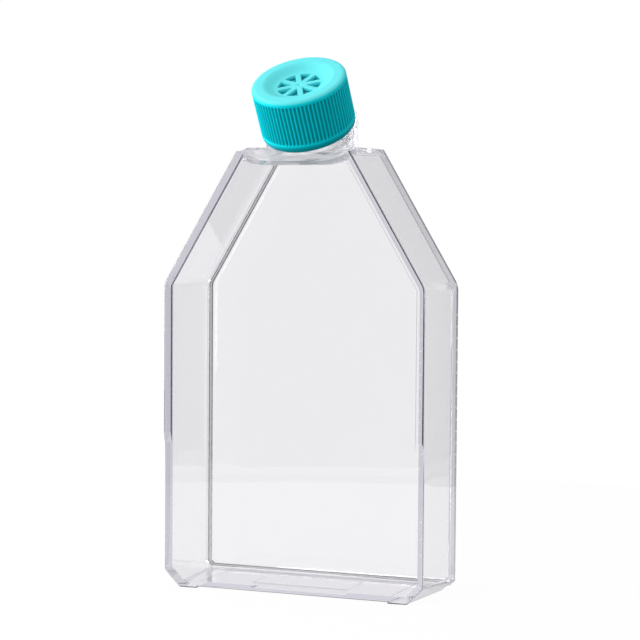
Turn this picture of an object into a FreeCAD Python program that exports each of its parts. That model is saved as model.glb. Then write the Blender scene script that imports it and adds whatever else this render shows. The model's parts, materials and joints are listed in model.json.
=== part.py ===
import FreeCAD, Part
import math
import os
import Sketcher

# Cell culture flask with a canted neck and a vented screw cap, standing on its base end.
# Frame: +Z runs along the flask towards the neck, +X across its width and +Y through its depth,
# from the top plate to the growth surface. The origin is the centre of the base end.

doc = FreeCAD.newDocument("culture_flask")
sheet = doc.addObject("Spreadsheet::Sheet", "Sizes")

SIZES = {
    # housing outline
    "body_width": 80.0,
    "body_depth": 31.0,
    "shoulder_height": 89.0,
    "body_height": 128.4,
    "top_width": 33.2,
    "base_chamfer": 4.8,
    "growth_chamfer": 2.4,
    "shoulder_round": 6.0,
    "edge_round": 0.5,
    # walls
    "side_wall": 2.0,
    "growth_wall": 1.8,
    "plate_wall": 2.0,
    "inner_round": 2.0,
    # rims that keep the two clear faces off the bench and off a stacked neighbour
    "growth_rim_width": 1.7,
    "growth_rim_rise": 0.8,
    "plate_rim_width": 2.3,
    "plate_rim_rise": 1.0,
    "plate_rim_start": 42.4,
    "plate_rim_ramp": 3.4,
    # welded joint between the tray and the top plate
    "weld_ridge_width": 1.2,
    "weld_ridge_rise": 0.8,
    "weld_gap": 0.1,
    # base end
    "foot_length": 5.6,
    "foot_rise": 0.5,
    "base_pad_width": 29.8,
    "base_pad_depth": 12.4,
    # neck on its pedestal
    "neck_tilt": 33.0,
    "neck_offset": 1.3,
    "neck_bore": 17.6,
    "neck_wall": 1.8,
    "ledge_width": 2.7,
    "ledge_reach": 5.2,
    "rim_round": 0.6,
    # dip in the housing that makes room for the cap
    "dip_room": 2.7,
    "dip_blend": 8.0,
    "dip_clear": 60.0,
    # cap shell
    "cap_gap": 1.3,
    "cap_length": 16.5,
    "cap_wall": 1.9,
    "cap_top_round": 1.3,
    "cap_foot_round": 0.9,
    "cap_floor": 1.5,
    "thread_room": 1.3,
    # dished top with its spoked vent
    "dish_slope": 2.3,
    "dish_border": 1.4,
    "dish_sink": 1.3,
    "hub_diameter": 4.6,
    "gate_diameter": 1.4,
    "gate_sink": 0.35,
    "vent_count": 8.0,
    "vent_inset": 0.5,
    "spoke_width": 1.15,
    "vent_corner": 0.25,
    # grip
    "rib_count": 76.0,
    "groove_mouth": 0.8,
    "groove_floor": 0.4,
    "groove_sink": 0.42,
    "band_length": 2.2,
    "groove_top": 2.6,
    # insert and membrane held inside the cap
    "insert_room": 0.4,
    "insert_flange": 1.0,
    "insert_gap": 0.1,
    "plug_clearance": 0.15,
    "plug_wall": 1.55,
    "plug_taper": 0.4,
    "plug_length": 2.6,
    "snap_reach": 0.25,
    "snap_width": 0.6,
    "membrane_overlap": 1.9,
    "membrane_thickness": 0.2,
}

for row, (alias, number) in enumerate(SIZES.items(), start=1):
    sheet.set(f"A{row}", alias)
    sheet.set(f"B{row}", str(number))
    sheet.setAlias(f"B{row}", alias)
doc.recompute()


def size(expression):
    """The present value of an expression in the sheet's names."""
    return float(sheet.evalExpression(expression))


def tied(expression):
    """The same expression, written for an object outside the sheet."""
    words = []
    word = ""
    for letter in expression + " ":
        if letter.isalnum() or letter == "_":
            word += letter
            continue
        words.append(f"Sizes.{word}" if word in SIZES else word)
        words.append(letter)
        word = ""
    return "".join(words).strip()


def new_body(name):
    return doc.addObject("PartDesign::Body", name)


def sketch_on(body, role, name, shift=None, tilt=None):
    """A sketch on one of the body's own origin planes, moved and turned in that plane."""
    plane = next(item for item in body.Origin.OriginFeatures if item.Role == role)
    sketch = body.newObject("Sketcher::SketchObject", name)
    sketch.AttachmentSupport = [(plane, "")]
    sketch.MapMode = "FlatFace"
    for axis, expression in (shift or {}).items():
        sketch.setExpression(f"AttachmentOffset.Base.{axis}", tied(expression))
    if tilt:
        sketch.setExpression("AttachmentOffset.Rotation.Angle", tied(tilt))
    return sketch


def bind(sketch, constraint, expression):
    index = sketch.addConstraint(constraint)
    sketch.setExpression(f"Constraints[{index}]", tied(expression))


def outline(sketch, corners):
    """A closed outline. A corner is (x, y) in sheet expressions.

    A third entry (cx, cy, turn) makes the side that leaves the corner an arc about (cx, cy), +1 for
    anticlockwise. One coordinate of the corner that ends an arc is None: the arc's radius sets it.
    """
    count = len(corners)
    places = [None] * count
    for index, corner in enumerate(corners):
        if None not in corner[:2]:
            places[index] = FreeCAD.Vector(size(corner[0]), size(corner[1]), 0)
    for index, corner in enumerate(corners):
        if None in corner[:2]:
            start = places[index - 1]
            middle_x, middle_y = size(corners[index - 1][2][0]), size(corners[index - 1][2][1])
            radius = math.hypot(start.x - middle_x, start.y - middle_y)
            side = corner[3]
            if corner[0] is None:
                level = size(corner[1])
                reach = math.sqrt(max(radius ** 2 - (level - middle_y) ** 2, 0.0))
                places[index] = FreeCAD.Vector(middle_x + side * reach, level, 0)
            else:
                level = size(corner[0])
                reach = math.sqrt(max(radius ** 2 - (level - middle_x) ** 2, 0.0))
                places[index] = FreeCAD.Vector(level, middle_y + side * reach, 0)
    ends = []
    for index, corner in enumerate(corners):
        start, end = places[index], places[(index + 1) % count]
        if len(corner) > 2 and corner[2]:
            middle = FreeCAD.Vector(size(corner[2][0]), size(corner[2][1]), 0)
            first = math.atan2(start.y - middle.y, start.x - middle.x)
            last = math.atan2(end.y - middle.y, end.x - middle.x)
            if corner[2][2] < 0:
                first, last = last, first
            circle = Part.Circle(middle, FreeCAD.Vector(0, 0, 1), (start - middle).Length)
            side = sketch.addGeometry(Part.ArcOfCircle(circle, first, last))
            ends.append((side, 2, 1) if corner[2][2] < 0 else (side, 1, 2))
            bind(sketch, Sketcher.Constraint("DistanceX", -1, 1, side, 3, middle.x), corner[2][0])
            bind(sketch, Sketcher.Constraint("DistanceY", -1, 1, side, 3, middle.y), corner[2][1])
        else:
            side = sketch.addGeometry(Part.LineSegment(start, end))
            ends.append((side, 1, 2))
    for index, corner in enumerate(corners):
        before = ends[index - 1]
        here = ends[index]
        sketch.addConstraint(Sketcher.Constraint("Coincident", before[0], before[2], here[0], here[1]))
        for kind, expression, place in (("DistanceX", corner[0], places[index].x),
                                        ("DistanceY", corner[1], places[index].y)):
            if expression is not None:
                bind(sketch, Sketcher.Constraint(kind, -1, 1, here[0], here[1], place), expression)


def circle(sketch, x, y, radius):
    """A circle whose centre and radius are sheet expressions."""
    middle = FreeCAD.Vector(size(x), size(y), 0)
    side = sketch.addGeometry(Part.Circle(middle, FreeCAD.Vector(0, 0, 1), size(radius)))
    bind(sketch, Sketcher.Constraint("DistanceX", -1, 1, side, 3, middle.x), x)
    bind(sketch, Sketcher.Constraint("DistanceY", -1, 1, side, 3, middle.y), y)
    bind(sketch, Sketcher.Constraint("Radius", side, size(radius)), radius)


def pad(body, sketch, name, length, reverse=False):
    feature = body.newObject("PartDesign::Pad", name)
    feature.Profile = sketch
    feature.Reversed = reverse
    feature.setExpression("Length", tied(length))
    doc.recompute()
    return feature


def pocket(body, sketch, name, length, reverse=False):
    before = body.Shape.Volume
    feature = body.newObject("PartDesign::Pocket", name)
    feature.Profile = sketch
    feature.Reversed = reverse
    feature.setExpression("Length", tied(length))
    doc.recompute()
    if body.Shape.Volume >= before:
        raise RuntimeError(f"{name} removed nothing")
    return feature


def turned(body, sketch, name, kind="Revolution"):
    """A full revolution or groove about the sketch's own vertical axis."""
    before = body.Shape.Volume if kind == "Groove" else None
    feature = body.newObject(f"PartDesign::{kind}", name)
    feature.Profile = sketch
    feature.ReferenceAxis = (sketch, ["V_Axis"])
    feature.Angle = 360.0
    doc.recompute()
    if before is not None and body.Shape.Volume >= before:
        raise RuntimeError(f"{name} removed nothing")
    return feature


def dressed(body, kind, name, amount, chosen):
    """A fillet or chamfer on each edge of the body for which chosen(edge) holds."""
    tip = body.Tip
    edges = [f"Edge{place}" for place, edge in enumerate(tip.Shape.Edges, start=1) if chosen(edge)]
    if not edges:
        raise RuntimeError(f"{name} found no edge")
    feature = body.newObject(f"PartDesign::{kind}", name)
    feature.Base = (tip, edges)
    feature.setExpression("Radius" if kind == "Fillet" else "Size", tied(amount))
    doc.recompute()
    return feature


def runs_along(edge, axis):
    """True for a straight edge parallel to a coordinate axis."""
    first, *rest = edge.discretize(5)
    return all((point - first).cross(axis).Length < 1e-4 for point in rest)


def lies_at(edge, axis, level):
    """True where the whole edge lies in the plane at that level along the axis."""
    return all(abs(point.dot(axis) - level) < 1e-4 for point in edge.discretize(5))


X_AXIS = FreeCAD.Vector(1, 0, 0)
Y_AXIS = FreeCAD.Vector(0, 1, 0)
Z_AXIS = FreeCAD.Vector(0, 0, 1)

# ---------------------------------------------------------------- shared forms

# Levels along Y: the growth surface, and the joint between the tray and the top plate.
INNER_FACE = "body_depth / 2 - growth_rim_rise - growth_wall"
TRAY_FRONT = "-body_depth / 2 + plate_rim_rise + plate_wall"

# The house-shaped outline leans in by this angle above the shoulders.
LEAN = "atan((body_width - top_width) / 2 / (body_height - shoulder_height))"


def house(inset, chamfer="base_chamfer"):
    """The flask's front outline, moved inwards by a sheet expression, anticlockwise."""
    right = [
        (f"body_width / 2 - {chamfer} - ({inset}) * (sqrt(2) - 1)", f"{inset}"),
        (f"body_width / 2 - ({inset})", f"{chamfer} + ({inset}) * (sqrt(2) - 1)"),
        (f"body_width / 2 - ({inset})", f"shoulder_height - ({inset}) * tan({LEAN} / 2)"),
        (f"top_width / 2 - ({inset}) * tan((90deg - {LEAN}) / 2)", f"body_height - ({inset})"),
    ]
    left = [(f"-({x})", z) for x, z in reversed(right)]
    return right + left


# The tray's base chamfers narrow towards the growth side, because their faces lean by this angle.
JOINT_TO_GROWTH = f"(body_depth / 2 - ({TRAY_FRONT}))"
CHAMFER_LEAN = f"atan((base_chamfer - growth_chamfer) / sqrt(2) / {JOINT_TO_GROWTH})"
HOLLOW_CHAMFER = (f"(growth_chamfer + (base_chamfer - growth_chamfer)"
                  f" * (body_depth / 2 - ({INNER_FACE})) / {JOINT_TO_GROWTH})")


def lean_chamfers(body, name, level):
    """Lean the two base chamfers about their edges on the face at that level along Y."""
    tip = body.Tip
    faces = list(enumerate(tip.Shape.Faces, start=1))
    chamfers = [f"Face{place}" for place, face in faces
                if face.normalAt(0, 0).z < -0.1 and abs(face.normalAt(0, 0).x) > 0.1]
    hinge = [f"Face{place}" for place, face in faces
             if face.normalAt(0, 0).y > 0.9 and abs(face.CenterOfMass.y - size(level)) < 1e-4]
    feature = body.newObject("PartDesign::Draft", name)
    feature.Base = (tip, chamfers)
    feature.NeutralPlane = (tip, hinge)
    feature.Reversed = True
    feature.setExpression("Angle", tied(CHAMFER_LEAN))
    doc.recompute()
    doc.recompute()  # a new draft only finds its faces in the second pass
    return feature


def is_shoulder(edge, inset=0.0):
    """True for the two edges through the depth where the sides start to lean in."""
    if not runs_along(edge, Y_AXIS):
        return False
    lean = math.radians(size(LEAN))
    place = edge.Vertexes[0].Point
    half = size("body_width") / 2 - inset
    level = size("shoulder_height") - inset * math.tan(lean / 2)
    return abs(abs(place.x) - half) < 1e-3 and abs(place.z - level) < 1e-3


def dip_profile(skin):
    """Half section about the neck axis of the room that is kept for the cap.

    Its floor is square to the neck and its side sweeps up in one large arc. skin is the wall left
    outside it.
    """
    floor = f"ledge_reach - ({skin})"
    middle = "ledge_reach + dip_blend"
    return [
        ("0", floor),
        (DIP_FLAT, floor, (DIP_FLAT, middle, 1)),
        (None, middle, None, 1),
        (f"{DIP_FLAT} + dip_blend + ({skin})", "dip_clear"),
        ("0", "dip_clear"),
    ]


# Radii about the neck's axis. The cap's sizes follow from the neck that it screws on.
NECK_BORE = "(neck_bore / 2)"
NECK_OUTSIDE = "(neck_bore / 2 + neck_wall)"
PEDESTAL_OUTSIDE = f"({NECK_OUTSIDE} + ledge_width)"
CAP_BORE = f"({NECK_OUTSIDE} + thread_room)"
CAP_OUTSIDE = f"({CAP_BORE} + cap_wall)"
DIP_FLAT = f"({CAP_OUTSIDE} + dip_room)"
INSERT_OUTSIDE = f"({CAP_BORE} - insert_room)"
PLUG_OUTSIDE = f"({NECK_BORE} - plug_clearance)"
INSERT_HOLE = f"({PLUG_OUTSIDE} - plug_wall)"
MEMBRANE = f"({INSERT_HOLE} + membrane_overlap)"
VENT = f"({INSERT_HOLE} - vent_inset)"
DISH_FLOOR = f"({VENT} + dish_border)"
DISH_RIM = f"({DISH_FLOOR} + dish_slope)"
# The dish's side is two equal arcs that meet half way down, each level at its own end.
DISH_ROUND = "((dish_slope ^ 2 + dish_sink ^ 2) / (4 * dish_sink))"
# Inside the cap, measured from its open end: the shell's ceiling, and the insert's sealing face.
CEILING = "(cap_length - dish_sink - cap_floor)"
SEAT = f"({CEILING} - 2 * insert_gap - insert_flange)"
# The neck ends at the sealing face of a cap that is screwed down.
NECK_TOP = f"(ledge_reach + cap_gap + {SEAT})"
# The pedestal's highest point above the body's top, plus a little to be cut off square to the neck.
PEDESTAL_RISE = (f"((ledge_reach + sin(neck_tilt * 1deg) * ({PEDESTAL_OUTSIDE} - neck_offset))"
                 " / cos(neck_tilt * 1deg) + side_wall)")
NECK = {"shift": {"x": "neck_offset", "y": "body_height"}, "tilt": "neck_tilt"}


def base_relief(sketch):
    """The shallow field in the base end between its two feet, round its middle pad."""
    reach = "body_width / 2 - base_chamfer - foot_length"
    for half_x, half_y in ((reach, "body_depth"), ("base_pad_width / 2", "base_pad_depth / 2")):
        outline(sketch, [(f"-({half_x})", f"-({half_y})"), (half_x, f"-({half_y})"),
                         (half_x, half_y), (f"-({half_x})", half_y)])


# ---------------------------------------------------------------- flask_body
# One polystyrene moulding: growth surface, side walls, base end, shoulders, and the canted neck on
# its round pedestal. The top plate closes its open side.

shell = new_body("shell_form")
shell_outline = sketch_on(shell, "XZ_Plane", "shell_outline", {"z": "body_depth / 2"})
outline(shell_outline, house("0", "growth_chamfer"))
pad(shell, shell_outline, "shell_block", "body_depth", reverse=True)
lean_chamfers(shell, "shell_chamfers", "body_depth / 2")
dressed(shell, "Fillet", "shoulder_rounds", "shoulder_round", is_shoulder)
dressed(shell, "Fillet", "growth_side_rounds", "edge_round",
        lambda edge: lies_at(edge, Y_AXIS, size("body_depth / 2")))

growth_field = sketch_on(shell, "XZ_Plane", "growth_field", {"z": "-body_depth / 2"})
outline(growth_field, house("growth_rim_width", "growth_chamfer"))
pocket(shell, growth_field, "growth_recess", "growth_rim_rise", reverse=True)

relief = sketch_on(shell, "XY_Plane", "base_relief")
base_relief(relief)
pocket(shell, relief, "foot_relief", "foot_rise", reverse=True)

pedestal = sketch_on(shell, "XY_Plane", "pedestal", {"z": "body_height - side_wall"})
circle(pedestal, "0", "0", PEDESTAL_OUTSIDE)
pad(shell, pedestal, "neck_pedestal", f"side_wall + {PEDESTAL_RISE}")

dip = sketch_on(shell, "YZ_Plane", "dip", **NECK)
outline(dip, dip_profile("0"))
turned(shell, dip, "cap_dip", "Groove")

joint_plane = sketch_on(shell, "XZ_Plane", "joint_plane", {"z": f"-({TRAY_FRONT})"})
outline(joint_plane, [("-body_width", "-body_height"), ("body_width", "-body_height"),
                      ("body_width", "2 * body_height"), ("-body_width", "2 * body_height")])
pocket(shell, joint_plane, "open_side", "body_depth", reverse=True)

neck = sketch_on(shell, "YZ_Plane", "neck", **NECK)
outline(neck, [
    ("0", "ledge_reach - side_wall"),
    (NECK_OUTSIDE, "ledge_reach - side_wall"),
    (NECK_OUTSIDE, f"{NECK_TOP} - rim_round",
     (f"{NECK_OUTSIDE} - rim_round", f"{NECK_TOP} - rim_round", 1)),
    (f"{NECK_OUTSIDE} - rim_round", None, None, 1),
    ("0", NECK_TOP),
])
turned(shell, neck, "neck_tube")

hollow = new_body("hollow_form")
hollow_outline = sketch_on(hollow, "XZ_Plane", "hollow_outline", {"z": f"-({INNER_FACE})"})
outline(hollow_outline, house("side_wall", HOLLOW_CHAMFER))
pad(hollow, hollow_outline, "hollow_block", "body_depth")
lean_chamfers(hollow, "hollow_chamfers", INNER_FACE)
dressed(hollow, "Fillet", "hollow_shoulder_rounds", "shoulder_round - side_wall",
        lambda edge: is_shoulder(edge, size("side_wall")))
hollow_pedestal = sketch_on(hollow, "XY_Plane", "hollow_pedestal", {"z": "shoulder_height"})
circle(hollow_pedestal, "0", "0", f"{PEDESTAL_OUTSIDE} - side_wall")
pad(hollow, hollow_pedestal, "pedestal_hollow", f"body_height - shoulder_height + {PEDESTAL_RISE}")
hollow_dip = sketch_on(hollow, "YZ_Plane", "hollow_dip", **NECK)
outline(hollow_dip, dip_profile("side_wall"))
turned(hollow, hollow_dip, "skin_under_dip", "Groove")
dressed(hollow, "Fillet", "growth_surface_rounds", "inner_round",
        lambda edge: lies_at(edge, Y_AXIS, size(INNER_FACE)))
bore = sketch_on(hollow, "YZ_Plane", "bore", **NECK)
outline(bore, [
    ("0", "0"),
    (NECK_BORE, "0"),
    (NECK_BORE, "dip_clear"),
    ("0", "dip_clear"),
])
turned(hollow, bore, "neck_bore_form")

flask_body = doc.addObject("Part::Cut", "flask_body")
flask_body.Base = shell
flask_body.Tool = hollow

# ---------------------------------------------------------------- top_plate
# Flat polystyrene plate welded over the tray's open side, with a raised stacking rim that starts
# half way up and a locating ridge that drops inside the walls.

plate = new_body("top_plate")
ridge_outer, ridge_inner = "(side_wall + weld_gap)", "(side_wall + weld_gap + weld_ridge_width)"
ridge = sketch_on(plate, "XZ_Plane", "ridge", {"z": f"-({TRAY_FRONT})"})
outline(ridge, house(ridge_outer))
outline(ridge, house(ridge_inner))
pad(plate, ridge, "weld_ridge", "weld_ridge_rise", reverse=True)
for face, inset in (("outer", ridge_outer), ("inner", ridge_inner)):
    dressed(plate, "Fillet", f"ridge_{face}_rounds", f"shoulder_round - {inset}",
            lambda edge: is_shoulder(edge, size(inset)))
ridge_dip = sketch_on(plate, "YZ_Plane", "ridge_dip", **NECK)
outline(ridge_dip, dip_profile(ridge_outer))
turned(plate, ridge_dip, "ridge_gap_at_dip", "Groove")

plate_outline = sketch_on(plate, "XZ_Plane", "plate_outline", {"z": f"-({TRAY_FRONT})"})
outline(plate_outline, house("0"))
pad(plate, plate_outline, "plate_block", "plate_wall + plate_rim_rise")
dressed(plate, "Fillet", "plate_shoulder_rounds", "shoulder_round", is_shoulder)
dressed(plate, "Fillet", "plate_edge_rounds", "edge_round",
        lambda edge: lies_at(edge, Y_AXIS, size("-body_depth / 2")))

plate_field = sketch_on(plate, "XZ_Plane", "plate_field", {"z": "body_depth / 2"})
outline(plate_field, house("plate_rim_width"))
pocket(plate, plate_field, "plate_recess", "plate_rim_rise")

rim_relief = sketch_on(plate, "YZ_Plane", "rim_relief", {"z": "-body_width / 2"})
outline(rim_relief, [
    ("-body_depth", "-body_depth"),
    ("-body_depth / 2 + plate_rim_rise", "-body_depth"),
    ("-body_depth / 2 + plate_rim_rise", "plate_rim_start"),
    ("-body_depth / 2", "plate_rim_start + plate_rim_ramp"),
    ("-body_depth", "plate_rim_start + plate_rim_ramp"),
])
pocket(plate, rim_relief, "rim_ramp", "body_width", reverse=True)

plate_relief = sketch_on(plate, "XY_Plane", "plate_relief")
base_relief(plate_relief)
pocket(plate, plate_relief, "plate_foot_relief", "foot_rise", reverse=True)

plate_dip = sketch_on(plate, "YZ_Plane", "plate_dip", **NECK)
outline(plate_dip, dip_profile("0"))
turned(plate, plate_dip, "plate_cap_dip", "Groove")

# ---------------------------------------------------------------- cap assembly
# The cap's own pieces are modelled along +Z from the cap's open end, then set on the neck's axis.


def on_neck(body):
    """Set a body that is modelled from the cap's open end on the neck's axis."""
    along = "(ledge_reach + cap_gap)"
    body.Placement.Rotation = FreeCAD.Rotation(X_AXIS, size("neck_tilt"))
    body.setExpression("Placement.Base.y", tied(f"neck_offset - {along} * sin(neck_tilt * 1deg)"))
    body.setExpression("Placement.Base.z", tied(f"body_height + {along} * cos(neck_tilt * 1deg)"))
    body.setExpression("Placement.Rotation.Angle", tied("neck_tilt"))


# vent_cap: coloured shell with a dished top, a spoked vent and a finely ribbed grip.
cap = new_body("vent_cap")
cap_section = sketch_on(cap, "XZ_Plane", "cap_section")
outline(cap_section, [
    (CAP_BORE, "0"),
    (f"{CAP_OUTSIDE} - cap_foot_round", "0",
     (f"{CAP_OUTSIDE} - cap_foot_round", "cap_foot_round", 1)),
    (None, "cap_foot_round", None, 1),
    (CAP_OUTSIDE, "cap_length - cap_top_round",
     (f"{CAP_OUTSIDE} - cap_top_round", "cap_length - cap_top_round", 1)),
    (f"{CAP_OUTSIDE} - cap_top_round", None, None, 1),
    (DISH_RIM, "cap_length", (DISH_RIM, f"cap_length - {DISH_ROUND}", 1)),
    (f"{DISH_RIM} - dish_slope / 2", None, (DISH_FLOOR, f"cap_length - dish_sink + {DISH_ROUND}", -1), 1),
    (DISH_FLOOR, None, None, -1),
    ("0", "cap_length - dish_sink"),
    ("0", CEILING),
    (CAP_BORE, CEILING),
    (CAP_BORE, f"{SEAT} - insert_gap"),
    (f"{INSERT_OUTSIDE} - snap_reach", f"{SEAT} - insert_gap"),
    (f"{INSERT_OUTSIDE} - snap_reach", f"{SEAT} - insert_gap - snap_width / 2"),
    (CAP_BORE, f"{SEAT} - insert_gap - 2 * snap_width"),
])
turned(cap, cap_section, "cap_shell")

gate = sketch_on(cap, "XY_Plane", "gate", {"z": "cap_length - dish_sink"})
circle(gate, "0", "0", "gate_diameter / 2")
pocket(cap, gate, "gate_dimple", "gate_sink")

vent = sketch_on(cap, "XY_Plane", "vent", {"z": "cap_length"})
half = "180deg / vent_count"
hub = "(hub_diameter / 2)"
outer_turn = f"({half} - asin(spoke_width / 2 / {VENT}))"
inner_turn = f"({half} - asin(spoke_width / 2 / {hub}))"
outline(vent, [
    (f"{VENT} * cos({outer_turn})", f"-({VENT} * sin({outer_turn}))", ("0", "0", 1)),
    (None, f"{VENT} * sin({outer_turn})", None, 1),
    (f"{hub} * cos({inner_turn})", f"{hub} * sin({inner_turn})", ("0", "0", -1)),
    (None, f"-({hub} * sin({inner_turn}))", None, 1),
])
vent_cut = pocket(cap, vent, "vent_opening", "dish_sink + cap_floor")
vents = cap.newObject("PartDesign::PolarPattern", "vents")
vents.Originals = [vent_cut]
vents.Axis = (vent, ["N_Axis"])
vents.Angle = 360.0
vents.setExpression("Occurrences", tied("vent_count"))
cap.Tip = vents
doc.recompute()


def is_vent_corner(edge):
    """True for an upright edge at a corner of one of the openings between the spokes."""
    if not runs_along(edge, Z_AXIS):
        return False
    place = edge.Vertexes[0].Point
    return size("gate_diameter") < math.hypot(place.x, place.y) < size(f"{VENT} + vent_inset")


dressed(cap, "Fillet", "vent_corners", "vent_corner", is_vent_corner)

groove = sketch_on(cap, "XY_Plane", "groove", {"z": "band_length"})
wide = "(groove_mouth - groove_floor / 2)"
outline(groove, [
    (f"{CAP_OUTSIDE} - groove_sink", "-groove_floor / 2"),
    (f"{CAP_OUTSIDE} + groove_sink", f"-{wide}"),
    (f"{CAP_OUTSIDE} + groove_sink", wide),
    (f"{CAP_OUTSIDE} - groove_sink", "groove_floor / 2"),
])
groove_cut = pocket(cap, groove, "grip_groove", "cap_length - groove_top - band_length", reverse=True)
grooves = cap.newObject("PartDesign::PolarPattern", "grip")
grooves.Originals = [groove_cut]
grooves.Axis = (groove, ["N_Axis"])
grooves.Angle = 360.0
grooves.setExpression("Occurrences", tied("rib_count"))
cap.Tip = grooves
on_neck(cap)

# cap_insert: pale ring snapped up inside the shell; its flange seals on the neck's rim and its
# plug lip reaches into the bore.
insert = new_body("cap_insert")
insert_section = sketch_on(insert, "XZ_Plane", "insert_section")
outline(insert_section, [
    (INSERT_HOLE, f"{SEAT} - plug_length"),
    (f"{PLUG_OUTSIDE} - plug_taper", f"{SEAT} - plug_length"),
    (PLUG_OUTSIDE, f"{SEAT} - plug_length + 2 * plug_taper"),
    (PLUG_OUTSIDE, SEAT),
    (INSERT_OUTSIDE, SEAT),
    (INSERT_OUTSIDE, f"{SEAT} + insert_flange"),
    (MEMBRANE, f"{SEAT} + insert_flange"),
    (MEMBRANE, f"{SEAT} + insert_flange - membrane_thickness"),
    (INSERT_HOLE, f"{SEAT} + insert_flange - membrane_thickness"),
])
turned(insert, insert_section, "insert_ring")
on_neck(insert)

# vent_membrane: thin white hydrophobic disc welded in the insert's recess, under the vents.
membrane = new_body("vent_membrane")
disc = sketch_on(membrane, "XY_Plane", "disc", {"z": f"{SEAT} + insert_flange - membrane_thickness"})
circle(disc, "0", "0", MEMBRANE)
pad(membrane, disc, "membrane_disc", "membrane_thickness")
on_neck(membrane)

# ---------------------------------------------------------------- check and write

doc.recompute()
nodes = [flask_body, plate, cap, insert, membrane]
for item in doc.Objects:
    if "Invalid" in item.State or "Error" in item.State:
        raise RuntimeError(f"{item.Name} did not build: {item.State}")
for node in nodes:
    node.Label = node.Name
    shape = node.Shape
    if shape.isNull() or not shape.isValid() or len(shape.Solids) != 1:
        raise RuntimeError(f"{node.Label} has no single valid solid")

os.makedirs("parts", exist_ok=True)
for node in nodes:
    node.Shape.exportStep(f"parts/{node.Label}.step")
    box = node.Shape.BoundBox
    print(f"{node.Label}: {node.Shape.Volume:.1f} mm3, x {box.XMin:.2f} {box.XMax:.2f}, "
          f"y {box.YMin:.2f} {box.YMax:.2f}, z {box.ZMin:.2f} {box.ZMax:.2f}")
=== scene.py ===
import json
import math

import bmesh
import bpy
import numpy as np
from mathutils import Matrix, Vector


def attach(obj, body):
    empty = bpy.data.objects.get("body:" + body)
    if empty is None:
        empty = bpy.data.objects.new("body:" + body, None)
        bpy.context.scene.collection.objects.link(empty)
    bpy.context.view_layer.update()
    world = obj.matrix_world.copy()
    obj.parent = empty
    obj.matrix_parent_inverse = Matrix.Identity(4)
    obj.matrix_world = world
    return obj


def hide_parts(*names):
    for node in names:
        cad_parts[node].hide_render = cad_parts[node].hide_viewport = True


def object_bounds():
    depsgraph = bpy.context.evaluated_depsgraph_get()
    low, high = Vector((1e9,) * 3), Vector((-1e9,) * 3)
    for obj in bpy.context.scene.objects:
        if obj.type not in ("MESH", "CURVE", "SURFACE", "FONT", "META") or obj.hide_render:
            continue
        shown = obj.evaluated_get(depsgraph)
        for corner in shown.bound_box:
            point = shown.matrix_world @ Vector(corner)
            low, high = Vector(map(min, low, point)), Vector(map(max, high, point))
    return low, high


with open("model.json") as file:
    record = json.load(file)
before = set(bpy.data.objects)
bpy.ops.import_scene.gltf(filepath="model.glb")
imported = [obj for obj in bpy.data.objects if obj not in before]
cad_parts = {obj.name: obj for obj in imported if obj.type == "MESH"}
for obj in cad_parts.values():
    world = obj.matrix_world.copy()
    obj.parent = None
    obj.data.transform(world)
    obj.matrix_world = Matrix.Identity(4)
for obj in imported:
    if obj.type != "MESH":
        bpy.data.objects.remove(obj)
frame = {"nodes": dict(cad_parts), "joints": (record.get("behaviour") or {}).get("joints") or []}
cad_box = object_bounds()

# ---------------------------------------------------------------- neck thread
# A single-start right-hand thread runs round the neck under the cap. It is moulded with the neck in
# clear polystyrene, so it is made here as a ridge and welded into the housing's skin below.

screw = next(joint for joint in frame["joints"] if joint["name"] == "cap_turn")
NECK_AXIS = np.array(screw["axis"])
CAP_FOOT = np.array(screw["pos_m"])
NECK_RADIUS = 0.0106
THREAD_LEAD, THREAD_START, THREAD_TURNS = 0.004, 0.003, 1.5
RIDGE_HEIGHT, RIDGE_WIDTH = 0.00085, 0.001


def set_on_neck(points):
    """Points given from the cap's open end, X across and Z up the neck, moved to their real place:
    place = foot + x * across + y * back + z * axis, where back = axis x across."""
    across = np.array([1.0, 0.0, 0.0])
    back = np.cross(NECK_AXIS, across)
    return CAP_FOOT + points @ np.array([across, back, NECK_AXIS])


def new_piece(name, points, faces):
    """An object at the origin from an array of points and a list of arrays of faces."""
    mesh = bpy.data.meshes.new(name)
    mesh.from_pydata(points.tolist(), [], [face for block in faces for face in block.tolist()])
    piece = bpy.data.objects.new(name, mesh)
    bpy.context.scene.collection.objects.link(piece)
    return piece


def grid_faces(rows, columns):
    """Corners of the four-sided faces between neighbouring points of a grid whose columns close up."""
    row, column = np.meshgrid(np.arange(rows - 1), np.arange(columns), indexing="ij")
    beside = (column + 1) % columns
    return np.stack([row * columns + column, row * columns + beside,
                     (row + 1) * columns + beside, (row + 1) * columns + column], axis=-1)


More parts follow.
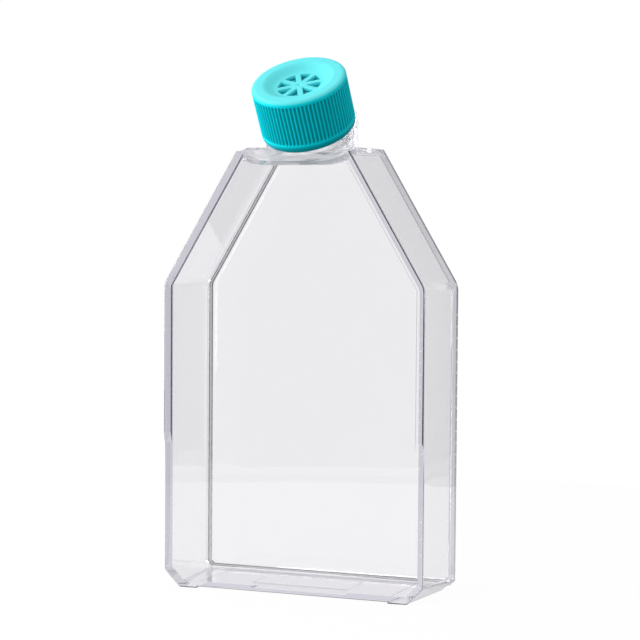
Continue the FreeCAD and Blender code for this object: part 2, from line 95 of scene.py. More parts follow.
def thread_ridge(turns, steps=120):
    """A ridge of rounded-trapezium section carried along a helix: the section's point (out, up) at
    turn t lies at angle = 2 pi t, radius = neck + out * fade(t), height = start + lead * t + up *
    (0.4 + 0.6 * fade(t)), and fade runs from 0 to 1 over the first and the last sixth of a turn."""
    section = np.array([[-0.4, -0.62], [0.0, -0.62], [0.55, -0.36], [0.9, -0.18], [1.0, 0.0],
                        [0.9, 0.18], [0.55, 0.36], [0.0, 0.62], [-0.4, 0.62]])
    turn = np.linspace(0.0, turns, steps)[:, None]
    fade = np.clip(np.minimum(turn, turns - turn) * 6.0, 0.02, 1.0)
    out = np.where(section[:, 0] > 0, section[:, 0] * fade, section[:, 0]) * RIDGE_HEIGHT
    up = section[:, 1] * RIDGE_WIDTH * (0.4 + 0.6 * fade)
    radius = NECK_RADIUS + out
    height = THREAD_START + THREAD_LEAD * turn + up
    angle = 2 * np.pi * turn
    points = np.stack([radius * np.cos(angle), radius * np.sin(angle), height], axis=-1)
    across = len(section)
    sides = grid_faces(steps, across)[:, :, ::-1].reshape(-1, 4)
    ends = [np.arange(across)[None, :], np.arange((steps - 1) * across, steps * across)[None, ::-1]]
    return new_piece("neck_thread", set_on_neck(points.reshape(-1, 3)), [sides, *ends])


neck_thread = thread_ridge(THREAD_TURNS)

# ---------------------------------------------------------------- clear housing
# The tray with its canted neck and the flat top plate are two mouldings of crystal polystyrene,
# welded all round, so that the finished housing is one clear skin with no gap at the joint.

PLATE_THICKNESS = 0.003
FRONT_FACE, BACK_FACE = -0.0155, 0.0155
FRONT_RIM, BACK_RIM, EDGE_ROUNDING = 0.0010, 0.0008, 0.0006
LOW_PART_TOP, LOW_ROUNDING, LOW_EDGE_DEPTH = 0.0425, 0.0004, 0.0016
INNER_ROUND_FROM, INNER_ROUND_TO = 0.0105, 0.0131
FEET_TOP, CUT_CORNER_TOP, DIP_FOOT, NECK_FOOT = 0.0012, 0.0065, 0.1215, 0.1218
SAME_CORNER, SLIVER, HAIR = 2e-6, 1e-6, 2e-5


def merge_corners(mesh):
    """Corners that lie together made one, and the slivers between them taken out."""
    form = bmesh.new()
    form.from_mesh(mesh)
    bmesh.ops.remove_doubles(form, verts=form.verts, dist=SAME_CORNER)
    bmesh.ops.dissolve_degenerate(form, dist=SLIVER, edges=form.edges)
    form.to_mesh(mesh)
    form.free()


def merged_copy(node, name):
    """The node's own surface as a closed mesh in which neighbouring facets share their corners."""
    mesh = frame["nodes"][node].data.copy()
    mesh.name = name
    mesh.attributes.remove(mesh.attributes["custom_normal"])
    merge_corners(mesh)
    piece = bpy.data.objects.new(name, mesh)
    bpy.context.scene.collection.objects.link(piece)
    return piece


def weld(piece, *others):
    """The piece joined with the others into one closed skin, which takes their place."""
    for other in others:
        union = piece.modifiers.new("weld", "BOOLEAN")
        union.operation = "UNION"
        union.solver = "EXACT"
        union.object = other
    bpy.context.view_layer.update()
    joined = bpy.data.meshes.new_from_object(
        piece.evaluated_get(bpy.context.evaluated_depsgraph_get()))
    piece.modifiers.clear()
    piece.data = joined
    for other in others:
        bpy.data.objects.remove(other)


def crease(mesh, angle, merge=SAME_CORNER, flat_area=1e-5, flat_angle=0.3):
    """Smooth shading, but for the edges where two faces meet at more than an angle in degrees, and
    those round a large flat face, in square metres, which keeps its own direction."""
    form = bmesh.new()
    form.from_mesh(mesh)
    bmesh.ops.remove_doubles(form, verts=form.verts, dist=merge)
    for face in form.faces:
        face.smooth = True
    for edge in form.edges:
        large = max(face.calc_area() for face in edge.link_faces) > flat_area
        edge.smooth = edge.calc_face_angle(0) < math.radians(flat_angle if large else angle)
    form.to_mesh(mesh)
    form.free()


def melt_ridge(piece, thickness):
    """The plate without its locating ridge, which melts into the joint: y is never more than the
    plate's front face plus its thickness."""
    places = np.empty(len(piece.data.vertices) * 3)
    piece.data.vertices.foreach_get("co", places)
    places = places.reshape(-1, 3)
    places[:, 1] = np.minimum(places[:, 1], places[:, 1].min() + thickness)
    piece.data.vertices.foreach_set("co", places.ravel())
    merge_corners(piece.data)
    return piece


def round_low_edges(mesh, top, size):
    """The outer edges below a level, but for the growth side's, get a rounding of that size in three
    steps. They are the long convex edges between faces that meet at more than 35 degrees."""
    form = bmesh.new()
    form.from_mesh(mesh)
    bmesh.ops.remove_doubles(form, verts=form.verts, dist=SAME_CORNER)
    bmesh.ops.dissolve_limit(form, angle_limit=1e-4, verts=form.verts, edges=form.edges)
    sharp = [edge for edge in form.edges if edge.is_manifold and edge.is_convex
             and edge.calc_face_angle(0) > math.radians(35) and edge.calc_length() > 4 * size
             and max(corner.co.z for corner in edge.verts) < top
             and min(corner.co.y for corner in edge.verts) < BACK_FACE - 0.001]
    bmesh.ops.bevel(form, geom=sharp, offset=size, segments=3, profile=0.5, affect="EDGES",
                    clamp_overlap=False)
    bmesh.ops.dissolve_degenerate(form, dist=SLIVER, edges=form.edges)
    form.to_mesh(mesh)
    form.free()


def face_values(mesh, name, width):
    """One of the mesh's face properties as an array with a row for each face."""
    values = np.empty(len(mesh.polygons) * width, int if width == 1 else float)
    mesh.polygons.foreach_get(name, values)
    return values.reshape(-1, width)


def mark_edges(mesh):
    """Two weights on the housing's faces. The first marks where dark lines of painted shade go: the
    rounded edges, where the face is half way between the flats and the sides, the inner steps of
    both rims, the rounds of the growth surface, the feet and the base's cut corners. busy is 1 on
    the dip's cut rim and on the neck, where the moulding flows together and is left uneven."""
    normal, middle = face_values(mesh, "normal", 3), face_values(mesh, "center", 3)
    corners = np.empty(len(mesh.loops), int)
    mesh.loops.foreach_get("vertex_index", corners)
    places = np.empty(len(mesh.vertices) * 3)
    mesh.vertices.foreach_get("co", places)
    depth = places.reshape(-1, 3)[corners, 1]
    start = face_values(mesh, "loop_start", 1)[:, 0]
    near, far = np.minimum.reduceat(depth, start), np.maximum.reduceat(depth, start)
    aside, level, down = np.abs(normal[:, 0]), np.abs(normal[:, 1]), -normal[:, 2]
    height = middle[:, 2]
    lower, below_dip = height < LOW_PART_TOP, height < DIP_FOOT
    at_front = far < FRONT_FACE + np.where(lower, LOW_EDGE_DEPTH, EDGE_ROUNDING)
    at_edge = at_front | (near > BACK_FACE - EDGE_ROUNDING)
    rounded = (level > np.where(lower, 0.2, 0.4)) & (level < 0.92) & at_edge
    front_step = (far < FRONT_FACE + FRONT_RIM + HAIR) & (near > FRONT_FACE - HAIR)
    back_step = (near > BACK_FACE - BACK_RIM - HAIR) & (far < BACK_FACE + HAIR)
    edge = (rounded | (level < 0.3) & (front_step | back_step)) & below_dip
    inner = (level > 0.55) & (level < 0.85) & (near > INNER_ROUND_FROM) & (far < INNER_ROUND_TO)
    foot = (height < FEET_TOP) & (aside < 0.7) & (down > 0.2) & (down < 0.995)
    cut_corner = (height < CUT_CORNER_TOP) & (aside > 0.75) & (down > 0.15) & (down < 0.6)
    # painted shade: how dark the painted edge line is on each kind of face
    line = np.select([foot, cut_corner, edge & lower, edge, inner & below_dip],
                     [0.9, 0.6, 0.75, 1.0, 0.7], 0.0)
    busy = ((height > NECK_FOOT) & (level < 0.97)).astype(float)
    for name, values in (("painted_dark_line", line), ("busy", busy)):
        mesh.attributes.new(name, "FLOAT", "FACE").data.foreach_set("value", values)


housing = merged_copy("flask_body", "clear_housing")
weld(housing, melt_ridge(merged_copy("top_plate", "plate_copy"), PLATE_THICKNESS), neck_thread)
round_low_edges(housing.data, LOW_PART_TOP, LOW_ROUNDING)
crease(housing.data, 28)
mark_edges(housing.data)


def number(nodes, operation, first, second=None, clamp=False):
    """A maths node; each input is a number or an output socket."""
    node = nodes.new("ShaderNodeMath")
    node.operation = operation
    node.use_clamp = clamp
    for place, value in enumerate((first, second)):
        if value is None:
            continue
        if isinstance(value, (int, float)):
            node.inputs[place].default_value = value
        else:
            nodes.id_data.links.new(value, node.inputs[place])
    return node.outputs["Value"]


def mixed(nodes, first, second, factor, blend="MIX"):
    """The first colour mixed towards the second, or multiplied by it, as far as the factor says. The
    first may be an output socket."""
    node = nodes.new("ShaderNodeMix")
    node.data_type = "RGBA"
    node.blend_type = blend
    links = nodes.id_data.links
    if isinstance(first, tuple):
        node.inputs[6].default_value = (*first, 1)
    else:
        links.new(first, node.inputs[6])
    node.inputs[7].default_value = (*second, 1)
    links.new(factor, node.inputs["Factor"])
    return node.outputs[2]


def speckle(nodes, scale, detail=2.0, stretch=None):
    """Noise on the piece's own coordinates, which may be stretched along the axes."""
    place = nodes.new("ShaderNodeTexCoord").outputs["Object"]
    links = nodes.id_data.links
    if stretch:
        drawn = nodes.new("ShaderNodeMapping")
        drawn.inputs["Scale"].default_value = stretch
        links.new(place, drawn.inputs["Vector"])
        place = drawn.outputs["Vector"]
    noise = nodes.new("ShaderNodeTexNoise")
    noise.inputs["Scale"].default_value = scale
    noise.inputs["Detail"].default_value = detail
    links.new(place, noise.inputs["Vector"])
    return noise.outputs["Fac"]


def between(nodes, value, low, high, start=0.0, end=1.0):
    """A value that runs from low to high while the given one runs from start to end."""
    node = nodes.new("ShaderNodeMapRange")
    for name, limit in (("From Min", start), ("From Max", end), ("To Min", low), ("To Max", high)):
        node.inputs[name].default_value = limit
    nodes.id_data.links.new(value, node.inputs["Value"])
    return node.outputs["Result"]


def raised(nodes, height, strength, depth, below=None):
    """The surface's direction with a bump of that depth in metres, on top of the one below."""
    node = nodes.new("ShaderNodeBump")
    links = nodes.id_data.links
    if isinstance(strength, float):
        node.inputs["Strength"].default_value = strength
    else:
        links.new(strength, node.inputs["Strength"])
    node.inputs["Distance"].default_value = depth
    links.new(height, node.inputs["Height"])
    if below:
        links.new(below, node.inputs["Normal"])
    return node.outputs["Normal"]


def weight(nodes, name):
    """One of the weights kept on the piece's mesh."""
    node = nodes.new("ShaderNodeAttribute")
    node.attribute_name = name
    return node.outputs["Fac"]


def clear_polystyrene():
    """Crystal polystyrene: index 1.59, a faint lilac cast through its thickness, painted shade where
    a rounded edge turns away and in dark lines along its edges, flow waves of a few micrometres,
    and a rippled neck and dip."""
    material = bpy.data.materials.new("clear_polystyrene")
    material.use_nodes = True
    nodes, links = material.node_tree.nodes, material.node_tree.links
    nodes.clear()
    out = nodes.new("ShaderNodeOutputMaterial")
    plastic = nodes.new("ShaderNodeBsdfPrincipled")
    plastic.inputs["IOR"].default_value = 1.59
    plastic.inputs["Transmission Weight"].default_value = 1.0
    busy, line = weight(nodes, "busy"), weight(nodes, "painted_dark_line")

    # colour: painted shade greying the outer face where it turns away, a lilac cast in clouds,
    # and painted shade in dark fine lines
    facing = nodes.new("ShaderNodeLayerWeight")
    facing.inputs["Blend"].default_value = 0.5
    side = nodes.new("ShaderNodeNewGeometry")
    outside = number(nodes, "SUBTRACT", 1.0, side.outputs["Backfacing"])
    plain = number(nodes, "SUBTRACT", outside, number(nodes, "MULTIPLY", busy, 0.8), clamp=True)
    turned_edge_shade = nodes.new("ShaderNodeValToRGB")
    first, last = turned_edge_shade.color_ramp.elements
    first.position, first.color = 0.1, (0.995, 0.994, 0.998, 1)
    last.position, last.color = 0.97, (0.12, 0.12, 0.14, 1)
    for place, colour in ((0.66, (0.985, 0.98, 0.99, 1)), (0.80, (0.66, 0.64, 0.69, 1))):
        turned_edge_shade.color_ramp.elements.new(place).color = colour
    links.new(number(nodes, "MULTIPLY", facing.outputs["Facing"], plain), turned_edge_shade.inputs["Fac"])
    cloud = speckle(nodes, 60.0, 3.0)
    cast = mixed(nodes, turned_edge_shade.outputs["Color"], (0.99, 0.987, 0.994), cloud, "MULTIPLY")
    # painted shade: the base colour goes near black along the marked lines
    links.new(mixed(nodes, cast, (0.004, 0.004, 0.007), line), plastic.inputs["Base Color"])

    # roughness and bump: handling marks, flow waves on the flats, ripples on the neck and dip
    rubbed = between(nodes, cloud, 0.0, 0.03, 0.55, 0.8)
    links.new(number(nodes, "ADD", rubbed, number(nodes, "MULTIPLY", busy, 0.18)),
              plastic.inputs["Roughness"])
    unlined = number(nodes, "SUBTRACT", 1.0, line, clamp=True)
    flow = raised(nodes, speckle(nodes, 90.0, 1.0), number(nodes, "MULTIPLY", unlined, 0.15), 0.00004)
    ripples = speckle(nodes, 420.0, 0.5, (0.25, 0.8, 0.8))
    links.new(raised(nodes, ripples, number(nodes, "MULTIPLY", busy, 0.8), 0.0009, flow),
              plastic.inputs["Normal"])

    # Lamp light and scattered light go straight through. So does light that has been turned back
    # inside the wall again and again, and a share of what meets the rippled neck and dip.
    straight = nodes.new("ShaderNodeBsdfTransparent")
    links.new(mixed(nodes, (0.93, 0.93, 0.94), (0.995, 0.995, 0.998), busy), straight.inputs["Color"])
    path = nodes.new("ShaderNodeLightPath")
    lit = number(nodes, "MAXIMUM", path.outputs["Is Shadow Ray"], path.outputs["Is Diffuse Ray"])
    piped = number(nodes, "MAXIMUM",
                   number(nodes, "GREATER_THAN", path.outputs["Glossy Depth"], 2.5),
                   number(nodes, "GREATER_THAN", path.outputs["Ray Depth"], 9.5))
    passed = number(nodes, "MAXIMUM", number(nodes, "MAXIMUM", lit, piped),
                    number(nodes, "MULTIPLY", busy, 0.32))
    mix = nodes.new("ShaderNodeMixShader")
    links.new(passed, mix.inputs["Fac"])
    links.new(plastic.outputs["BSDF"], mix.inputs[1])
    links.new(straight.outputs["BSDF"], mix.inputs[2])
    links.new(mix.outputs["Shader"], out.inputs["Surface"])
    absorbs = nodes.new("ShaderNodeVolumeAbsorption")
    absorbs.inputs["Color"].default_value = (0.80, 0.79, 0.84, 1)
    absorbs.inputs["Density"].default_value = 60.0
    links.new(absorbs.outputs["Volume"], out.inputs["Volume"])
    return material


housing.data.materials.clear()
housing.data.materials.append(clear_polystyrene())
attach(housing, "flask")
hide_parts("flask_body", "top_plate")

# ---------------------------------------------------------------- level marks
# Short white level marks stand along the growth edge of one side wall, and three fainter ones low
# down on it. They are hot-stamped, so they lie a hair's breadth under the wall's outer face.

MARK_PITCH, MARK_FIRST, MARK_COUNT = 0.0034, 0.0362, 14
MARK_START, MARK_END, MARK_WIDTH = 0.0139, 0.0150, 0.0003
MARK_SINK, MARK_DEPTH = 0.00002, 0.00006
LOW_MARKS = [[0.0, 0.0035, 0.0126, 0.0001], [-0.001, 0.003, 0.0172, 0.0001],
             [0.0, 0.002, 0.0222, 0.0001]]


def level_marks():
    """Flat boxes, one for each row of (start, end, level, width): y from start to end, z = level +-
    half the width, and x from the wall's face less the sink down to the stamp's depth."""
    side = cad_box[1][0] - MARK_SINK
    ladder = [[MARK_START, MARK_END, MARK_FIRST + MARK_PITCH * step, MARK_WIDTH]
              for step in range(MARK_COUNT)]
    start, end, level, width = np.array(ladder + LOW_MARKS).T[:, :, None]
    corner = np.arange(8)[None, :]
    x = np.where(corner // 4, side, side - MARK_DEPTH)
    y = np.where(corner // 2 % 2, end, start)
    z = level + width * (corner % 2 - 0.5)
    points = np.stack(np.broadcast_arrays(x, y, z), -1).reshape(-1, 3)
    box = np.array([[0, 1, 3, 2], [4, 6, 7, 5], [0, 4, 5, 1],
                    [2, 3, 7, 6], [0, 2, 6, 4], [1, 5, 7, 3]])
    faces = (box[None] + 8 * np.arange(len(start))[:, None, None]).reshape(-1, 4)
    return new_piece("level_marks", points, [faces])


def stamped_white():
    """White stamping foil: a faint mottle in its white, uneven gloss, a fine grain, and a faint painted
    glow.
    """
    material = bpy.data.materials.new("stamped_white")
    material.use_nodes = True
    nodes, links = material.node_tree.nodes, material.node_tree.links
    shader = nodes["Principled BSDF"]
    # painted light: the foil glows faintly white, though it is no lamp
    shader.inputs["Emission Color"].default_value = (1, 1, 1, 1)
    shader.inputs["Emission Strength"].default_value = 0.3
    mottle = speckle(nodes, 2500.0)
    links.new(mixed(nodes, (0.86, 0.86, 0.87), (0.95, 0.95, 0.95), mottle), shader.inputs["Base Color"])
    links.new(number(nodes, "MULTIPLY", mottle, 0.9), shader.inputs["Roughness"])
    links.new(raised(nodes, mottle, 0.3, 0.00001), shader.inputs["Normal"])
    return material


marks = level_marks()
marks.data.materials.append(stamped_white())
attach(marks, "flask")

# ---------------------------------------------------------------- vented cap
# The screw cap is one moulding of teal polypropylene: a finely ribbed skirt, a dished top with an
# eight-spoked vent and a gate mark in its hub, a snap bead for the insert, and the thread inside.

CAP_RADIUS, CAP_HEIGHT = 13.8, 16.4
CAP_BORE, CAP_CEILING, CAP_RIDGE = 11.9, 13.7, 0.85
SHOULDER_OUT, SHOULDER_DOWN, CAP_FOOT_OUT, CAP_FOOT_UP = 1.3, 1.1, 0.9, 1.9
DISH_SINK, DISH_EDGE, DISH_FLOOR, GATE_SINK = 1.7, 10.6, 6.8, 0.3
VENT_IN, VENT_OUT, SPOKE_HALF, VENT_COUNT, VENT_ROUND = 2.4, 6.3, 0.80, 8, 0.24
RIB_COUNT, GROOVE_SINK, GROOVE_FOOT, GROOVE_HEAD = 76, 0.40, 2.2, 15.0


def ease(value, low, high):
    """0 below low, 1 above high, and t * t * (3 - 2 * t) between them."""
    t = np.clip((value - low) / (high - low), 0.0, 1.0)
    return t * t * (3.0 - 2.0 * t)


def cap_profile():
    """Rows of (radius, height) in millimetres round the cap's wall: over the top from the middle
    outwards, down the skirt, up the bore, and along the ceiling back to the middle."""
    near_edge = np.array([0.25, 0.14, 0.06])
    opening = np.linspace(VENT_IN, VENT_OUT, 9)
    hub = np.r_[0.2, 0.42, 0.56, 0.7, 0.85, 1.2, VENT_IN - near_edge]
    bowl = np.r_[VENT_OUT + near_edge[::-1], np.linspace(VENT_OUT + 0.5, DISH_EDGE + 0.2, 15)]
    top = np.r_[hub, opening, bowl, 11.4, 12.0]
    dish = CAP_HEIGHT - DISH_SINK * (1.0 - ease(top, DISH_FLOOR, DISH_EDGE))
    dish = dish - GATE_SINK * (1.0 - ease(top, 0.35, 0.8))
    turn = np.linspace(0.0, np.pi / 2, 11)
    shoulder = np.stack([CAP_RADIUS - SHOULDER_OUT + SHOULDER_OUT * np.sin(turn),
                         CAP_HEIGHT - SHOULDER_DOWN + SHOULDER_DOWN * np.cos(turn)], 1)
    heights = np.r_[GROOVE_HEAD + np.array([0.3, 0.12]), np.linspace(GROOVE_HEAD, GROOVE_HEAD - 0.9, 8),
                    11.0, 8.2, 5.4, np.linspace(GROOVE_FOOT + 0.9, GROOVE_FOOT, 8),
                    GROOVE_FOOT - 0.15]
    skirt = np.stack([np.full(len(heights), CAP_RADIUS), heights], 1)
    foot = np.stack([CAP_RADIUS - CAP_FOOT_OUT + CAP_FOOT_OUT * np.cos(turn[::2]),
                     CAP_FOOT_UP - CAP_FOOT_UP * np.sin(turn[::2])], 1)
    lip = np.array([[12.3, 0.0], [12.05, 0.08], [CAP_BORE, 0.3]])
    bore = np.stack([np.full(32, CAP_BORE), np.linspace(0.6, 10.9, 32)], 1)
    bead = np.array([[CAP_BORE, 11.2], [11.45, 11.8], [11.25, 12.1], [11.25, 12.35], [11.45, 12.4],
                     [CAP_BORE, 12.45], [CAP_BORE, 13.55], [CAP_BORE - 0.15, CAP_CEILING]])
    ceiling = np.r_[9.0, 7.0, opening[::-1], 1.0]
    ceiling = np.stack([ceiling, np.full(len(ceiling), CAP_CEILING)], 1)
    rows = np.concatenate([np.stack([top, dish], 1), shoulder, skirt, foot[1:], lip, bore, bead,
                           ceiling])
    return rows, len(top), len(hub), len(rows) - 1 - len(opening), len(opening)


def vent_angles():
    """One sector's column angles at each radius between hub and ring: even steps from the middle of
    an opening to its side, where angle = half a sector - asin(half a spoke / radius), then steps
    crowded near the edge to the middle of the spoke."""
    half = np.pi / VENT_COUNT
    opening = np.linspace(0.0, 1.0, 31)
    spoke = np.array([0.9, 0.77, 0.62, 0.47, 0.32, 0.2, 0.1, 0.0])

    def at(radius):
        radius = np.clip(radius, VENT_IN, VENT_OUT)[:, None]
        side = half - np.arcsin(SPOKE_HALF / radius)
        rising = np.concatenate([side * opening, half - np.arcsin(SPOKE_HALF * spoke / radius)], 1)
        sector = np.concatenate([-rising[:, :0:-1], rising[:, :-1]], 1)
        starts = 2 * half * np.arange(VENT_COUNT)
        return (sector[:, None, :] + starts[None, :, None]).reshape(len(radius), -1)

    return at, len(opening) - 1, 2 * (len(opening) + len(spoke) - 1)


def cap_mesh():
    """The profile carried once round the axis. Each row's radius and height are changed by the angle:
    radius -= groove depth on the skirt, radius -= thread ridge in the bore, and the top is lowered
    by r - sqrt(r^2 - (r - d)^2) within r of an opening, d being the distance from its edge."""
    rows, top_rows, top_in, ceiling_out, across_rows = cap_profile()
    vent_at, open_half, sector_steps = vent_angles()
    columns = VENT_COUNT * sector_steps
    sector = np.pi / VENT_COUNT
    even = np.arange(columns) * 2 * np.pi / columns - sector
    radius, height = rows[:, :1], rows[:, 1:]
    warped = vent_at(rows[:, 0])
    blend = ease(radius, VENT_OUT + 0.4, DISH_EDGE)
    angle = warped * (1.0 - blend) + even * blend
    place = np.arange(len(rows))[:, None]
    is_top = place < top_rows
    # soft edges of the openings
    off_spoke = np.abs(radius * np.sin(angle % (2 * sector) - sector))
    away = np.maximum(np.maximum(SPOKE_HALF - off_spoke, VENT_IN - radius), radius - VENT_OUT)
    near = VENT_ROUND - np.clip(away, 0.0, VENT_ROUND)
    soft = VENT_ROUND - np.sqrt(np.clip(VENT_ROUND ** 2 - near ** 2, 0.0, None))
    height = height - np.where(is_top, soft, 0.0)
    # ribs
    pitch = (np.arange(columns) * RIB_COUNT / columns) % 1.0
    groove_side = np.abs(pitch - 0.5)[None, :]
    across = 1.0 - ease(groove_side, 0.17, 0.42)
    inset = 0.35 * (groove_side / 0.42) ** 2
    along = ease(rows[:, 1:], GROOVE_FOOT + inset, GROOVE_FOOT + 0.55 + inset) * \
        (1.0 - ease(rows[:, 1:], GROOVE_HEAD - 0.55 - inset, GROOVE_HEAD - inset))
    skirt = (rows[:, :1] > CAP_RADIUS - 0.01) & (place > top_in + across_rows)
    groove = np.where(skirt, across * along, 0.0)
    radius = radius - GROOVE_SINK * groove
    # thread in the bore, half a lead above the neck's
    bore = (place > np.argmin(rows[:, 1])) & (rows[:, :1] == CAP_BORE) & (rows[:, 1:] < 11.0)
    phase = ((rows[:, 1:] / 1000 - THREAD_START) / THREAD_LEAD - angle / (2 * np.pi)) % 1.0
    ridge = 1.0 - ease(np.abs(phase - 0.5), 0.06, 0.16)
    fade = ease(rows[:, 1:], 0.7, 1.8) * (1.0 - ease(rows[:, 1:], 9.2, 10.6))
    radius = radius - np.where(bore, CAP_RIDGE * ridge * fade, 0.0)
    points = np.stack(np.broadcast_arrays(radius * np.cos(angle), radius * np.sin(angle), height), -1)
    poles = [[0, 0, rows[0, 1]], [0, 0, CAP_CEILING]]
    points = np.concatenate([points.reshape(-1, 3), poles]) / 1000
    skin = grid_faces(len(rows), columns)[:, :, ::-1]
    keep = np.ones(skin.shape[:2], bool)
    step = np.arange(columns) % sector_steps
    low, high = sector_steps // 2 - open_half, sector_steps // 2 + open_half
    is_open = (step >= low) & (step < high)
    keep[top_in:top_in + across_rows - 1, is_open] = False
    keep[ceiling_out:ceiling_out + across_rows - 1, is_open] = False
    at = np.arange(len(rows) * columns).reshape(len(rows), columns)
    upper = at[top_in:top_in + across_rows]
    lower = at[ceiling_out:ceiling_out + across_rows][::-1]
    begin = np.nonzero(is_open)[0]
    end = (begin + 1) % columns
    ring = [np.stack([upper[0, end], upper[0, begin], lower[0, begin], lower[0, end]], -1),
            np.stack([upper[-1, begin], upper[-1, end], lower[-1, end], lower[-1, begin]], -1)]
    for edge, onward in ((low, True), (high, False)):
        up, down = upper[:, step == edge], lower[:, step == edge]
        wall = np.stack([up[:-1], up[1:], down[1:], down[:-1]], -1).reshape(-1, 4)
        ring.append(wall if onward else wall[:, ::-1])
    column, beside = np.arange(columns), (np.arange(columns) + 1) % columns
    pole = np.full(columns, len(points) - 2)
    tips = [np.stack([column, beside, pole], -1),
            np.stack([at[-1, beside], at[-1, column], pole + 1], -1)]
    # painted shade: a weight that darkens the colour in the grooves and on the foot band, where shade
    # falls
    foot_shade_paint = np.where(place > top_in, 1.0 - ease(rows[:, 1:], 1.2, 2.6), 0.0)
    shade_paint = np.maximum(groove, np.where(rows[:, :1] > CAP_BORE, foot_shade_paint, 0.0))
    shade_paint = np.concatenate([np.broadcast_to(shade_paint, angle.shape).ravel(), [0.0, 0.0]])
    # painted light: the top and its shoulder are made paler, as if lit from above with a sheen
    painted_top_light = np.where(is_top, 1.0, ease(rows[:, 1:], CAP_HEIGHT - 0.9, CAP_HEIGHT - 0.2))
    painted_top_light = np.concatenate([np.broadcast_to(painted_top_light, angle.shape).ravel(), [1.0, 0.0]])
    return points, [skin[keep], *ring, *tips], shade_paint, painted_top_light


def teal_polypropylene():
    """Satin teal polypropylene in faint clouds, with painted shade down in the grooves and along the
    open end, painted light that makes the smooth top paler, and the fine grain of a spark-eroded mould."""
    material = bpy.data.materials.new("teal_polypropylene")
    material.use_nodes = True
    nodes, links = material.node_tree.nodes, material.node_tree.links
    shader = nodes["Principled BSDF"]
    shader.inputs["IOR"].default_value = 1.49
    shader.inputs["Specular IOR Level"].default_value = 0.05
    cloud = speckle(nodes, 220.0, 4.0)
    base = mixed(nodes, (0.0, 0.72, 0.82), (0.001, 0.81, 0.92), cloud)
    # painted shade: the colour is darkened in the grooves and on the foot band
    depth = number(nodes, "MULTIPLY", weight(nodes, "painted_shade"), 0.9)
    shaded = mixed(nodes, base, (0.22, 0.42, 0.44), depth, "MULTIPLY")
    # painted light: the colour turns paler over the top
    links.new(mixed(nodes, shaded, (0.125, 0.70, 0.735), weight(nodes, "painted_top_light")),
              shader.inputs["Base Color"])
    links.new(between(nodes, cloud, 0.42, 0.58), shader.inputs["Roughness"])
    links.new(raised(nodes, speckle(nodes, 4000.0), 0.12, 0.00003), shader.inputs["Normal"])
    return material


cap_points, cap_faces, *cap_weights = cap_mesh()
cap = new_piece("ribbed_cap", set_on_neck(cap_points), cap_faces)
for name, values in zip(("painted_shade", "painted_top_light"), cap_weights):
    cap.data.attributes.new(name, "FLOAT", "POINT").data.foreach_set("value", values)
crease(cap.data, 50, 1e-7)
cap.data.materials.append(teal_polypropylene())
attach(cap, "cap")
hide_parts("vent_cap")

# ---------------------------------------------------------------- insert and membrane
# A ring of pale polyethylene snaps up inside the cap and seals on the neck's rim. A thin porous
# film is welded across it; its dark teal is painted shade and the cap's teal light down in the vents.


def moulded(name, colour, other, roughness, scale, grain, depth):
    """A satin moulding: two near colours mixed in clouds, roughness that follows them, and a grain."""
    material = bpy.data.materials.new(name)
    material.use_nodes = True
    nodes, links = material.node_tree.nodes, material.node_tree.links
    shader = nodes["Principled BSDF"]
    cloud = speckle(nodes, scale, 4.0)
    links.new(mixed(nodes, colour, other, cloud), shader.inputs["Base Color"])
    links.new(between(nodes, cloud, roughness - 0.08, roughness + 0.08), shader.inputs["Roughness"])
    links.new(raised(nodes, speckle(nodes, grain), 0.3, depth), shader.inputs["Normal"])
    return material


frame["nodes"]["cap_insert"].material_slots[0].material = moulded(
    "pale_polyethylene", (0.78, 0.81, 0.79), (0.85, 0.87, 0.85), 0.42, 300.0, 4000.0, 0.00002)
# painted shade: the membrane is coloured a dark teal for the shade and teal light in the vents
frame["nodes"]["vent_membrane"].material_slots[0].material = film = moulded(
    "membrane_in_painted_shade", (0.03, 0.30, 0.33), (0.04, 0.36, 0.39), 0.85, 500.0, 9000.0, 0.00004)
film.node_tree.nodes["Principled BSDF"].inputs["Specular IOR Level"].default_value = 0.1

# ---------------------------------------------------------------- studio
# A round white table and a white room. Light that has been turned back inside a clear wall comes
# from the dim sides of the studio, and straight reflections off the outside are dimmer still.

TABLE_RADIUS, TABLE_MATT, TABLE_SHARE, TABLE_TURNED_BACK = 0.26, 0.32, 0.85, 0.85
TABLE_WHITE, TABLE_THROUGH_CLEAR = 1.108, -0.02
ROOM_LIGHT, TURNED_BACK, MIRRORED, REGAINED = 0.54, 0.36, 0.52, 0.88
BACKDROP_WAY, BACKDROP_EDGE, BACKDROP_FULL = (-0.37, 0.93, 0.0), 0.78, 0.95


def seen_white(nodes, turned_back, mirrored_level):
    """Whether the ray belongs to the picture rather than to the lighting, and how bright the white
    looks on that way: 1 straight, turned_back after one reflection inside a wall, nearly 1 again
    after more of them, and mirrored_level after one off the outside."""
    path = nodes.new("ShaderNodeLightPath")
    seen = number(nodes, "ADD", path.outputs["Is Camera Ray"], path.outputs["Is Glossy Ray"])
    seen = number(nodes, "ADD", seen, path.outputs["Is Transmission Ray"], clamp=True)
    turned = number(nodes, "GREATER_THAN", path.outputs["Glossy Depth"], 0.5)
    often = number(nodes, "GREATER_THAN", path.outputs["Glossy Depth"], 1.5)
    outside = number(nodes, "LESS_THAN", path.outputs["Transmission Depth"], 0.5)
    mirrored = number(nodes, "MULTIPLY", turned, outside)
    loss = number(nodes, "SUBTRACT", 1.0, turned_back)
    share = number(nodes, "SUBTRACT", turned, number(nodes, "MULTIPLY", often, REGAINED))
    level = number(nodes, "SUBTRACT", 1.0, number(nodes, "MULTIPLY", share, loss))
    dimmer = number(nodes, "MULTIPLY", mirrored, number(nodes, "SUBTRACT", turned_back, mirrored_level))
    return seen, number(nodes, "SUBTRACT", level, dimmer), path


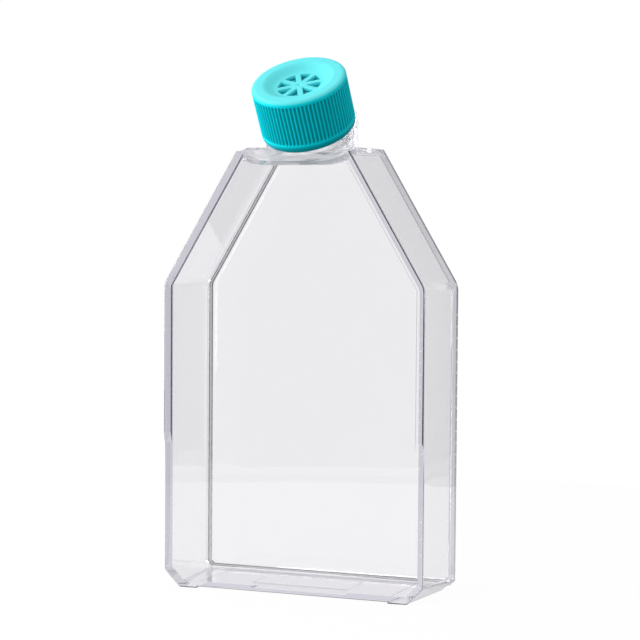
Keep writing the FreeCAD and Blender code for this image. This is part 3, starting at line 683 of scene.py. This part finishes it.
bpy.ops.mesh.primitive_circle_add(vertices=96, radius=TABLE_RADIUS, fill_type="NGON")
table = bpy.context.object
table.name = "table"
paper = bpy.data.materials.new("white_paper")
paper.use_nodes = True
nodes, links = paper.node_tree.nodes, paper.node_tree.links
nodes.clear()
out = nodes.new("ShaderNodeOutputMaterial")
matt = nodes.new("ShaderNodeBsdfDiffuse")
matt.inputs["Color"].default_value = (TABLE_MATT, TABLE_MATT, TABLE_MATT, 1)
seen, level, path = seen_white(nodes, TABLE_TURNED_BACK, TABLE_TURNED_BACK)
glow = nodes.new("ShaderNodeEmission")
through = number(nodes, "MULTIPLY", path.outputs["Is Transmission Ray"], TABLE_THROUGH_CLEAR)
links.new(number(nodes, "MULTIPLY", level, number(nodes, "ADD", through, TABLE_WHITE)),
          glow.inputs["Strength"])
mix = nodes.new("ShaderNodeMixShader")
links.new(number(nodes, "MULTIPLY", seen, TABLE_SHARE), mix.inputs["Fac"])
links.new(matt.outputs["BSDF"], mix.inputs[1])
links.new(glow.outputs["Emission"], mix.inputs[2])
links.new(mix.outputs["Shader"], out.inputs["Surface"])
table.data.materials.append(paper)

room = bpy.data.worlds.new("white_room")
bpy.context.scene.world = room
room.use_nodes = True
nodes, links = room.node_tree.nodes, room.node_tree.links
nodes.clear()
out = nodes.new("ShaderNodeOutputWorld")
soft = nodes.new("ShaderNodeBackground")
soft.inputs["Color"].default_value = (1, 1, 1, 1)
soft.inputs["Strength"].default_value = ROOM_LIGHT
white = nodes.new("ShaderNodeBackground")
white.inputs["Color"].default_value = (1, 1, 1, 1)
way = nodes.new("ShaderNodeTexCoord")
towards = nodes.new("ShaderNodeVectorMath")
towards.operation = "DOT_PRODUCT"
towards.inputs[1].default_value = BACKDROP_WAY
links.new(way.outputs["Generated"], towards.inputs[0])
backdrop = nodes.new("ShaderNodeMapRange")
backdrop.interpolation_type = "SMOOTHSTEP"
backdrop.inputs["From Min"].default_value = BACKDROP_EDGE
backdrop.inputs["From Max"].default_value = BACKDROP_FULL
backdrop.inputs["To Min"].default_value = TURNED_BACK
links.new(towards.outputs["Value"], backdrop.inputs["Value"])
seen, level, _ = seen_white(nodes, backdrop.outputs["Result"], MIRRORED)
links.new(level, white.inputs["Strength"])
mix = nodes.new("ShaderNodeMixShader")
links.new(seen, mix.inputs["Fac"])
links.new(soft.outputs["Background"], mix.inputs[1])
links.new(white.outputs["Background"], mix.inputs[2])
links.new(mix.outputs["Shader"], out.inputs["Surface"])


def soft_box(name, place, aim, width, power):
    """A square lamp of that width in metres and power in watts, turned towards its aim."""
    light = bpy.data.lights.new(name, "AREA")
    light.shape = "SQUARE"
    light.size = width
    light.energy = power
    lamp = bpy.data.objects.new(name, light)
    lamp.location = place
    lamp.rotation_euler = (Vector(aim) - Vector(place)).to_track_quat("-Z", "Y").to_euler()
    bpy.context.scene.collection.objects.link(lamp)


soft_box("overhead_box", (-0.15, -0.20, 0.85), (-0.15, -0.20, 0.0), 0.95, 2.2)
soft_box("left_box", (-0.75, -0.12, 0.22), (0, 0, 0.14), 0.45, 5.8)
soft_box("front_box", (-0.45, -0.75, 0.60), (0, 0, 0.13), 0.4, 4.2)

CAMERA_AZIMUTH, CAMERA_ELEVATION, CAMERA_ROLL = (math.radians(x) for x in (21.63, 3.04, 0.42))
CAMERA_DISTANCE, CAMERA_AIM = 0.5976, Vector((0.00282, 0.0, 0.07861))
camera_data = bpy.data.cameras.new("camera")
camera_data.sensor_width = 36.0
camera_data.lens = 115.65
camera_data.clip_start, camera_data.clip_end = 0.01, 20.0
camera = bpy.data.objects.new("camera", camera_data)
ahead = Vector((-math.sin(CAMERA_AZIMUTH) * math.cos(CAMERA_ELEVATION),
                math.cos(CAMERA_AZIMUTH) * math.cos(CAMERA_ELEVATION), -math.sin(CAMERA_ELEVATION)))
right = ahead.cross(Vector((0, 0, 1))).normalized()
up = right.cross(ahead)
right, up = (math.cos(CAMERA_ROLL) * right + math.sin(CAMERA_ROLL) * up,
             math.cos(CAMERA_ROLL) * up - math.sin(CAMERA_ROLL) * right)
camera.matrix_world = Matrix.Translation(CAMERA_AIM - CAMERA_DISTANCE * ahead) @ Matrix(
    (right, up, -ahead)).transposed().to_4x4()
bpy.context.scene.collection.objects.link(camera)
bpy.context.scene.camera = camera
bpy.context.scene.view_settings.view_transform = "Standard"
